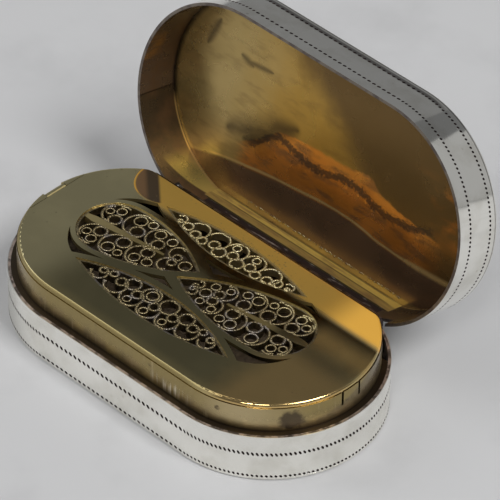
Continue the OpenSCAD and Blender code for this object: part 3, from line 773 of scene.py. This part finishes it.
def notchOf(points):  # half length and floor of the notch for the hinge
    rear = [p for p in points if p.y > 0]
    rim = min(points, key=lambda p: abs(p.z - lidLine.z)).z
    halfLength = min(abs(p.x) for p in rear if abs(p.z - rim) < wallForm["sameHeight"])
    floor = min((p.z for p in rear if abs(p.x) < case["halfX"] + 1), key=lambda z: abs(z - lidLine.z))
    return halfLength + wallForm["notchClear"], floor


def addSheet(bm, form, heights, depth):  # flat strip of cells that lies depth inside the outer face
    columns = 2 * (form["straightDots"] + form["roundDots"])
    rows = len(heights) - 1
    for v in bmesh.ops.create_grid(bm, x_segments=columns, y_segments=rows, size=0.5)["verts"]:
        v.co = (runAt(round((v.co.x + 0.5) * columns), form), heights[round((v.co.y + 0.5) * rows)], -depth)


def pittedWall(name, node, body, points, form, toShut, materials):
    low, high = min(p.z for p in points), max(p.z for p in points)
    notchHalf, notchFloor = notchOf(points)
    levels = [low, high, notchFloor]
    for row in form["rows"]:
        levels += [row["z"] - row["cell"], row["z"] + row["cell"]]
    heights = []
    for level in sorted(levels):
        if not heights or level - heights[-1] > wallForm["leastRow"]:
            heights.append(level)
    bm = bmesh.new()
    addSheet(bm, form, heights, 0)
    bm.normal_update()
    for row in form["rows"]:
        offs = [(f, f.calc_center_bounds().y - row["z"]) for f in bm.faces]
        punchDots(bm, [f for f, off in offs if abs(off) < wallForm["rowReach"]], row)
    outer = len(bm.faces)
    addSheet(bm, form, [low, notchFloor, high], case["radius"] - case["inside"])
    for f in list(bm.faces)[outer:]:
        f.material_index = 3
    for v in bm.verts:
        v.co = wrapped(v.co)
    bmesh.ops.remove_doubles(bm, verts=bm.verts, dist=wallForm["weld"])
    # notch for the hinge
    towardsRim = 1 if body == "base" else -1

    def rearFaces():  # faces behind, between the notch's floor and the rim
        middles = [(f, f.calc_center_bounds()) for f in bm.faces]
        return [f for f, middle in middles if middle.y > 0 and (middle.z - notchFloor) * towardsRim > 0]

    for side in (-1, 1):
        rear = rearFaces()
        around = rear + list({e for f in rear for e in f.edges}) + list({v for f in rear for v in f.verts})
        bmesh.ops.bisect_plane(bm, geom=around, plane_co=(side * notchHalf, 0, 0), plane_no=(1, 0, 0),
                               dist=wallForm["weld"] / 10)
    gone = [f for f in rearFaces() if abs(f.calc_center_bounds().x) < notchHalf]
    bmesh.ops.delete(bm, geom=gone, context="FACES")
    # rims between the two faces, at the notched edge and at the plain one
    plain = low if towardsRim > 0 else high
    edges = [(e, max(abs(v.co.z - plain) for v in e.verts)) for e in bm.edges if e.is_boundary]
    for notched in (False, True):
        loops = [e for e, off in edges if (off > wallForm["sameHeight"]) == notched]
        for f in bmesh.ops.bridge_loops(bm, edges=loops)["faces"]:
            f.material_index = 2
    bmesh.ops.recalc_face_normals(bm, faces=bm.faces)
    bmesh.ops.transform(bm, matrix=Matrix.Scale(mm, 4) @ toShut.inverted(), verts=bm.verts)
    wall = newPiece(name, bm, body, materials)
    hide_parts(node)


dotDark = dotFinish()
ledgeDark = ledgeFinish()
pittedWall("base_side_wall", "base_wall", "base", baseWall, wallForm["base"], inPlace,
           [silverFinish("silverBase"), dotDark, ledgeDark, ledgeDark])
pittedWall("lid_side_wall", "lid_wall", "lid", lidWall, wallForm["lid"], shutLid,
           [silverFinish("silverLid", True), dotDark, rimFinish(), lidWallFinish()])
print("pitted walls made")


# sponge: the CAD pad's copy, remeshed, crowned and pierced with pores
spongeForm = {
    "weld": 1e-6,
    "voxel": 0.24,
    "crown": 0.22,
    "pore": 0.85,    # pores to a millimetre
    "poreReach": 0.45, "poreDepth": 0.42,
    "smooth": 0.3,
    "colour": rgb(0.17, 0.125, 0.08),
    "deep": rgb(0.05, 0.036, 0.022),
    "specks": (1.4, 0.42),
    "mottle": (0.8, 4),
    "roughness": 0.9,
    "mottleDepth": 0.08,
}


def spongeFinish():
    look = Finish("spongeBrown", spongeForm, metallic=0.0)
    pore, mottle = look.specks("specks"), look.grain("mottle")
    look.colour = look.mix(look.times(pore, mottle), "colour", "deep")
    return look.finish("roughness", look.minus(mottle, pore), "mottleDepth")


def makeSponge():
    low, high = (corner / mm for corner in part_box("sponge"))
    bm = bmesh.new()
    bm.from_mesh(frame["nodes"]["sponge"].data)
    bmesh.ops.remove_doubles(bm, verts=bm.verts, dist=spongeForm["weld"])
    bmesh.ops.scale(bm, vec=(1 / mm,) * 3, verts=bm.verts)
    block = newObject("spongeRough", bm)
    remesh = block.modifiers.new("remesh", "REMESH")
    remesh.mode = "VOXEL"
    remesh.voxel_size = spongeForm["voxel"]
    shaped = bpy.data.meshes.new_from_object(block.evaluated_get(bpy.context.evaluated_depsgraph_get()))
    bpy.data.objects.remove(block)
    bm = bmesh.new()
    bm.from_mesh(shaped)
    bm.normal_update()
    for v in bm.verts:
        spread = min(1.0, (v.co.x / high.x) ** 2 + (v.co.y / high.y) ** 2)
        lift = max(0.0, (v.co.z - low.z) / (high.z - low.z))
        hole = max(0.0, 1 - noise.voronoi(v.co * spongeForm["pore"])[0][0] / spongeForm["poreReach"])
        v.co -= v.normal * hole * spongeForm["poreDepth"] * lift
        v.co.z -= spongeForm["crown"] * spread * lift
    bmesh.ops.smooth_vert(bm, verts=bm.verts, factor=spongeForm["smooth"],
                          use_axis_x=True, use_axis_y=True, use_axis_z=True)
    for v in bm.verts:
        v.co = Vector(max(lo, min(hi, c)) for lo, hi, c in zip(low, high, v.co)) * mm
    sponge = newPiece("scent_sponge", bm, "base", [spongeFinish()], 180)
    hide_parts("sponge")


makeSponge()
print("sponge made")


# solder left along the lid's hinge strip
solderForm = {
    "count": 58,
    "size": (0.05, 0.13),
    "stretch": (1.0, 1.9),
    "flat": 0.7,
    "run": (-7.6, 10.8),
    "jitter": 0.8,
    "fromWall": (0.88, 0.98),
    "sunk": (0.01, 0.02),    # the drops' middles below the ceiling, and how far they reach into it
    "bead": (3.0, 3),
    "brightFrom": (0.35, 0.6),
    "roughness": 0.34,
    "beadDepth": 0.02,
}


def solderFinish():
    look = Finish("giltSolder", solderForm, True)
    bead = look.mottle("bead", "brightFrom", "brown", "wire")
    return look.finish("roughness", bead, "beadDepth")


def makeSolder():
    draw = random.Random(4)
    bm = bmesh.new()
    first, last = solderForm["run"]
    below, into = solderForm["sunk"]
    for i in range(solderForm["count"]):
        x = first + (last - first) * (i + draw.random() * solderForm["jitter"]) / solderForm["count"]
        size = draw.uniform(*solderForm["size"])
        y = case["inside"] - draw.uniform(*solderForm["fromWall"])
        place = Matrix.Translation((x, y, case["ceiling"] - below))
        length = size * draw.uniform(*solderForm["stretch"])
        shape = Matrix.Diagonal((length, size, size * solderForm["flat"], 1))
        bmesh.ops.create_icosphere(bm, subdivisions=2, radius=1, matrix=place @ shape)
    for v in bm.verts:
        v.co.z = min(v.co.z, case["ceiling"] + into)
    bmesh.ops.transform(bm, matrix=Matrix.Scale(mm, 4) @ openLid, verts=bm.verts)
    newPiece("lid_strip_solder", bm, "lid", [solderFinish()], 180)


makeSolder()
print("solder made")


# twisted wire: a leaning bead at every step along the filigree, and small rings that fill its gaps
twistForm = {
    "step": 0.15,
    "halfWire": 0.12,
    "bead": (0.13, 0.078, 0.085),    # half length, width and height
    "segments": (8, 5),
    "lean": 24,
    "sink": 0.03,
    "handful": 12,
    "weld": 0.0005,
    "level": 0.9, "flush": 0.01,    # what counts as the wire's top
    "tries": 3,    # places tried in each step
}
ringForm = {
    "radius": (0.36, 0.6),    # least and most, to the middle of the wire
    "lap": 0.03,
    "search": 0.09,
    "opening": 70,    # least turn, in degrees, through which a gap must run on past its ring
    "close": 0.14,    # wire nearer to a ring than this shuts the gap there
    "wire": 0.16,
    "height": 0.5,
    "steps": 14,
}


def traceWire(node):  # places along the middle of a flat wire, each with the wire's direction
    bm = bmesh.new()
    bm.from_mesh(frame["nodes"][node].data)
    bmesh.ops.scale(bm, vec=(1 / mm,) * 3, verts=bm.verts)
    bmesh.ops.remove_doubles(bm, verts=bm.verts, dist=twistForm["weld"])
    top = max(v.co.z for v in bm.verts)
    upper = {f for f in bm.faces if f.normal.z > twistForm["level"]
             and f.calc_center_median().z > top - twistForm["flush"]}
    spots = {}
    for edge in bm.edges:
        faces = [f for f in edge.link_faces if f in upper]
        if len(faces) != 1 or len(edge.link_faces) != 2:
            continue
        first, last = (v.co.copy() for v in edge.verts)
        run = last - first
        inward = Vector((-run.y, run.x, 0)).normalized()
        if inward.dot(faces[0].calc_center_median() - first) < 0:
            inward.negate()
        parts = max(1, math.ceil(run.length / (twistForm["step"] / twistForm["tries"])))
        for i in range(parts):
            spot = first + run * ((i + 0.5) / parts) + inward * twistForm["halfWire"]
            cell = (math.floor(spot.x / twistForm["step"]), math.floor(spot.y / twistForm["step"]))
            cells = [(cell[0] + dx, cell[1] + dy) for dx in (-1, 0, 1) for dy in (-1, 0, 1)]
            if all((q - spot).length > twistForm["step"] for at in cells for q, turn in spots.get(at, [])):
                spots.setdefault(cell, []).append((spot, math.atan2(run.y, run.x) % math.pi))
    bm.free()
    return [item for cell in spots.values() for item in cell]


def openTurn(tree, radius, middle):  # widest turn about a ring in which no wire is close to it
    reach = radius + 2 * twistForm["halfWire"] + ringForm["close"]
    close = [spot - middle for spot, i, far in tree.find_range(middle, reach)]
    turns = sorted(math.atan2(way.y, way.x) for way in close)
    return max(b - a for a, b in zip(turns, turns[1:] + [turns[0] + 2 * math.pi]))


def findGaps(border, inside, plate):  # middles and radii of rings that touch the wire round each gap
    least, most = ringForm["radius"]
    tree = kdtree.KDTree(len(border) + len(inside))
    for i, spot in enumerate(border + inside):
        tree.insert(spot, i)
    tree.balance()
    flat = [spot.to_2d() for spot in border]
    hull = [flat[i] for i in geometry.convex_hull_2d(flat)]
    low, high = (Vector(f(p[i] for p in hull) for i in range(2)) for f in (min, max))
    found = []
    for i in range(math.ceil((high.x - low.x) / ringForm["search"])):
        for j in range(math.ceil((high.y - low.y) / ringForm["search"])):
            middle = Vector((low.x + i * ringForm["search"], low.y + j * ringForm["search"], border[0].z))
            radius = tree.find(middle)[2] - 2 * twistForm["halfWire"] + ringForm["lap"]
            sides = [(b - a).cross(middle.to_2d() - a) > 0 for a, b in zip(hull, hull[1:] + hull[:1])]
            over = plate.ray_cast((middle + Vector((0, 0, 1))) * mm, Vector((0, 0, -1)))[0]
            if radius > least and len(set(sides)) == 1 and over is None:
                found.append((radius, middle))
    rings = []
    for radius, middle in sorted(found, key=lambda item: -min(item[0], most)):
        for other, place in rings:
            room = (place - middle).length - other - 2 * twistForm["halfWire"] + ringForm["lap"]
            radius = min(radius, room)
        if least < radius < most:
            rings.append((radius, middle))
    return [ring for ring in rings if openTurn(tree, *ring) > math.radians(ringForm["opening"])]


def ringBeads(radius, middle):
    count = round(2 * math.pi * radius / twistForm["step"])
    turns = [2 * math.pi * i / count for i in range(count)]
    return [(middle + radius * Vector((math.cos(turn), math.sin(turn), 0)), turn + math.pi / 2)
            for turn in turns]


def makeTwist(node, spots, material):
    shape = Matrix.Diagonal((*twistForm["bead"], 1))
    around, along = twistForm["segments"]
    bm = bmesh.new()
    handful = bpy.data.meshes.new("handful")
    for i in range(0, len(spots), twistForm["handful"]):  # a few beads at a time, which is quicker
        few = bmesh.new()
        for spot, turn in spots[i:i + twistForm["handful"]]:
            turned = Matrix.Rotation(turn + math.radians(twistForm["lean"]), 4, "Z")
            place = Matrix.Translation(spot - Vector((0, 0, twistForm["sink"]))) @ turned @ shape
            bmesh.ops.create_uvsphere(few, u_segments=around, v_segments=along, radius=1, matrix=place)
        few.to_mesh(handful)
        few.free()
        bm.from_mesh(handful)
    bpy.data.meshes.remove(handful)
    bmesh.ops.scale(bm, vec=(mm,) * 3, verts=bm.verts)
    newPiece(node + "_twist", bm, "grille", [material], 180)


def makeRings(name, rings, material):
    bm = bmesh.new()
    size = Matrix.Diagonal((ringForm["wire"], ringForm["height"], 1, 1))
    upright = Matrix.Rotation(math.pi / 2, 4, "X")
    for radius, middle in rings:
        place = Matrix.Translation(middle + Vector((radius, 0, -ringForm["height"] / 2)))
        section = place @ upright @ size
        made = bmesh.ops.create_grid(bm, x_segments=1, y_segments=1, size=0.5, matrix=section)["verts"]
        edges = list({e for v in made for e in v.link_edges})
        bmesh.ops.delete(bm, geom=made[0].link_faces[:], context="FACES_ONLY")
        bmesh.ops.spin(bm, geom=made + edges, cent=middle, axis=(0, 0, 1), angle=2 * math.pi,
                       steps=ringForm["steps"], use_merge=True)
    bmesh.ops.remove_doubles(bm, verts=bm.verts, dist=twistForm["weld"])
    bmesh.ops.recalc_face_normals(bm, faces=bm.faces)
    bmesh.ops.scale(bm, vec=(mm,) * 3, verts=bm.verts)
    newPiece(name, bm, "grille", [material])


giltTwist = wireFinish("giltTwist", False)
giltWire = wireFinish("giltWire")
plateTree = bvhtree.BVHTree.FromObject(frame["nodes"]["grille_frame"], bpy.context.evaluated_depsgraph_get())
for node in [name for name in frame["nodes"] if name.endswith("_scrolls")]:
    spots = traceWire(node)
    border = [spot for spot, turn in traceWire(node.replace("_scrolls", "_wire"))]
    spine = traceWire(node.replace("_scrolls", "_spine")) if "lobe" in node else []
    rings = findGaps(border, [spot for spot, turn in spots + spine], plateTree)
    makeRings(node.replace("_scrolls", "_rings"), rings, giltWire)
    spots += [bead for ring in rings for bead in ringBeads(*ring)]
    makeTwist(node, spots, giltTwist)
    print("twisted wire on", node, len(spots), "beads,", len(rings), "rings")


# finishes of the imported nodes
tarnish = hingeFinish("tarnishedHinge")
nodeFinish = {  # parts of names, and the finish of the nodes that have them
    ("base_plate",): silverFinish("silverFoot"),
    ("bezel",): bezelFinish(),
    ("lid_plate",): ceilingFinish(),
    ("lid_hinge_bearer",): stripFinish(),
    ("lid_knuckle",): hingeFinish("tarnishedLidHinge", True),
    ("grille_lug", "grille_frame", "grille_knuckle", "_spine"): plateFinish(),
    ("_wire", "_scrolls"): giltWire,
}
for name, piece in frame["nodes"].items():
    fitting = [made for parts, made in nodeFinish.items() if any(part in name for part in parts)]
    for slot in piece.material_slots:
        slot.material = fitting[0] if fitting else tarnish
print("nodes finished")


# floor, light and camera
stageForm = {
    "floor": rgb(0.62, 0.62, 0.625),
    "smudge": rgb(0.56, 0.56, 0.565),
    "smear": (0.08, 4),
    "smearFrom": (0.45, 0.75),
    "roughness": 0.7,
    "size": 3.0,
    "world": rgb(0.13, 0.132, 0.136),
}
lampForm = {  # direction from the box, distance and size in metres, watts
    "windowRight": ((0.58, 0.03, 0.81), 1.1, 0.42, 6.6),
    "panelTop": ((-0.53, -0.19, 0.83), 1.1, 0.95, 2.8),
    "panelFront": ((0.37, -0.54, 0.74), 1.1, 0.25, 1.9),
    "panelLow": ((-0.53, -0.79, 0.33), 1.3, 1.2, 1.8),
    "rearLeft": ((-0.53, 0.785, 0.324), 1.3, 0.9, 0.15),
    "rearRight": ((0.49, 0.78, 0.36), 1.3, 1.0, 0.7),
}
cameraForm = {
    "azimuth": 43.737,
    "elevation": 40.375,
    "roll": 1.039,
    "distance": 445.626,
    "target": (4.463, 1.720, 13.120),
    "lens": 378.97,
    "sensor": 36,
    "clipStart": 0.01,
}


def makeFloor():
    bm = bmesh.new()
    bmesh.ops.create_grid(bm, x_segments=1, y_segments=1, size=stageForm["size"])
    look = Finish("paperFloor", stageForm, metallic=0.0)
    look.mottle("smear", "smearFrom", "floor", "smudge")
    floor = newObject("floor", bm, look.finish("roughness"))


def makeLight():
    world = bpy.data.worlds.new("room")
    scene.world = world
    world.use_nodes = True
    world.node_tree.nodes["Background"].inputs[0].default_value = stageForm["world"]
    for name, (direction, distance, size, power) in lampForm.items():
        place = Vector(direction).normalized() * distance
        lamp = bpy.data.lights.new(name, "AREA")
        lamp.shape = "SQUARE"
        lamp.size = size
        lamp.energy = power
        holder = bpy.data.objects.new(name, lamp)
        holder.location = place
        holder.rotation_euler = place.to_track_quat("Z", "Y").to_euler()
        scene.collection.objects.link(holder)


def makeCamera():
    azimuth, elevation, roll = (math.radians(cameraForm[key]) for key in ("azimuth", "elevation", "roll"))
    back = Vector((math.sin(azimuth) * math.cos(elevation), -math.cos(azimuth) * math.cos(elevation),
                   math.sin(elevation)))
    level = Vector((math.cos(azimuth), math.sin(azimuth), 0))
    upright = back.cross(level)
    right = level * math.cos(roll) + upright * math.sin(roll)
    up = upright * math.cos(roll) - level * math.sin(roll)
    data = bpy.data.cameras.new("photoCamera")
    data.lens = cameraForm["lens"]
    data.sensor_width = cameraForm["sensor"]
    data.clip_start = cameraForm["clipStart"]
    camera = bpy.data.objects.new("photoCamera", data)
    place = (Vector(cameraForm["target"]) + back * cameraForm["distance"]) * mm
    camera.matrix_world = Matrix.Translation(place) @ Matrix((right, up, back)).transposed().to_4x4()
    scene.collection.objects.link(camera)
    scene.camera = camera


makeFloor()
makeLight()
makeCamera()
bpy.context.scene.view_settings.view_transform = "Standard"
print("floor, light and camera set")
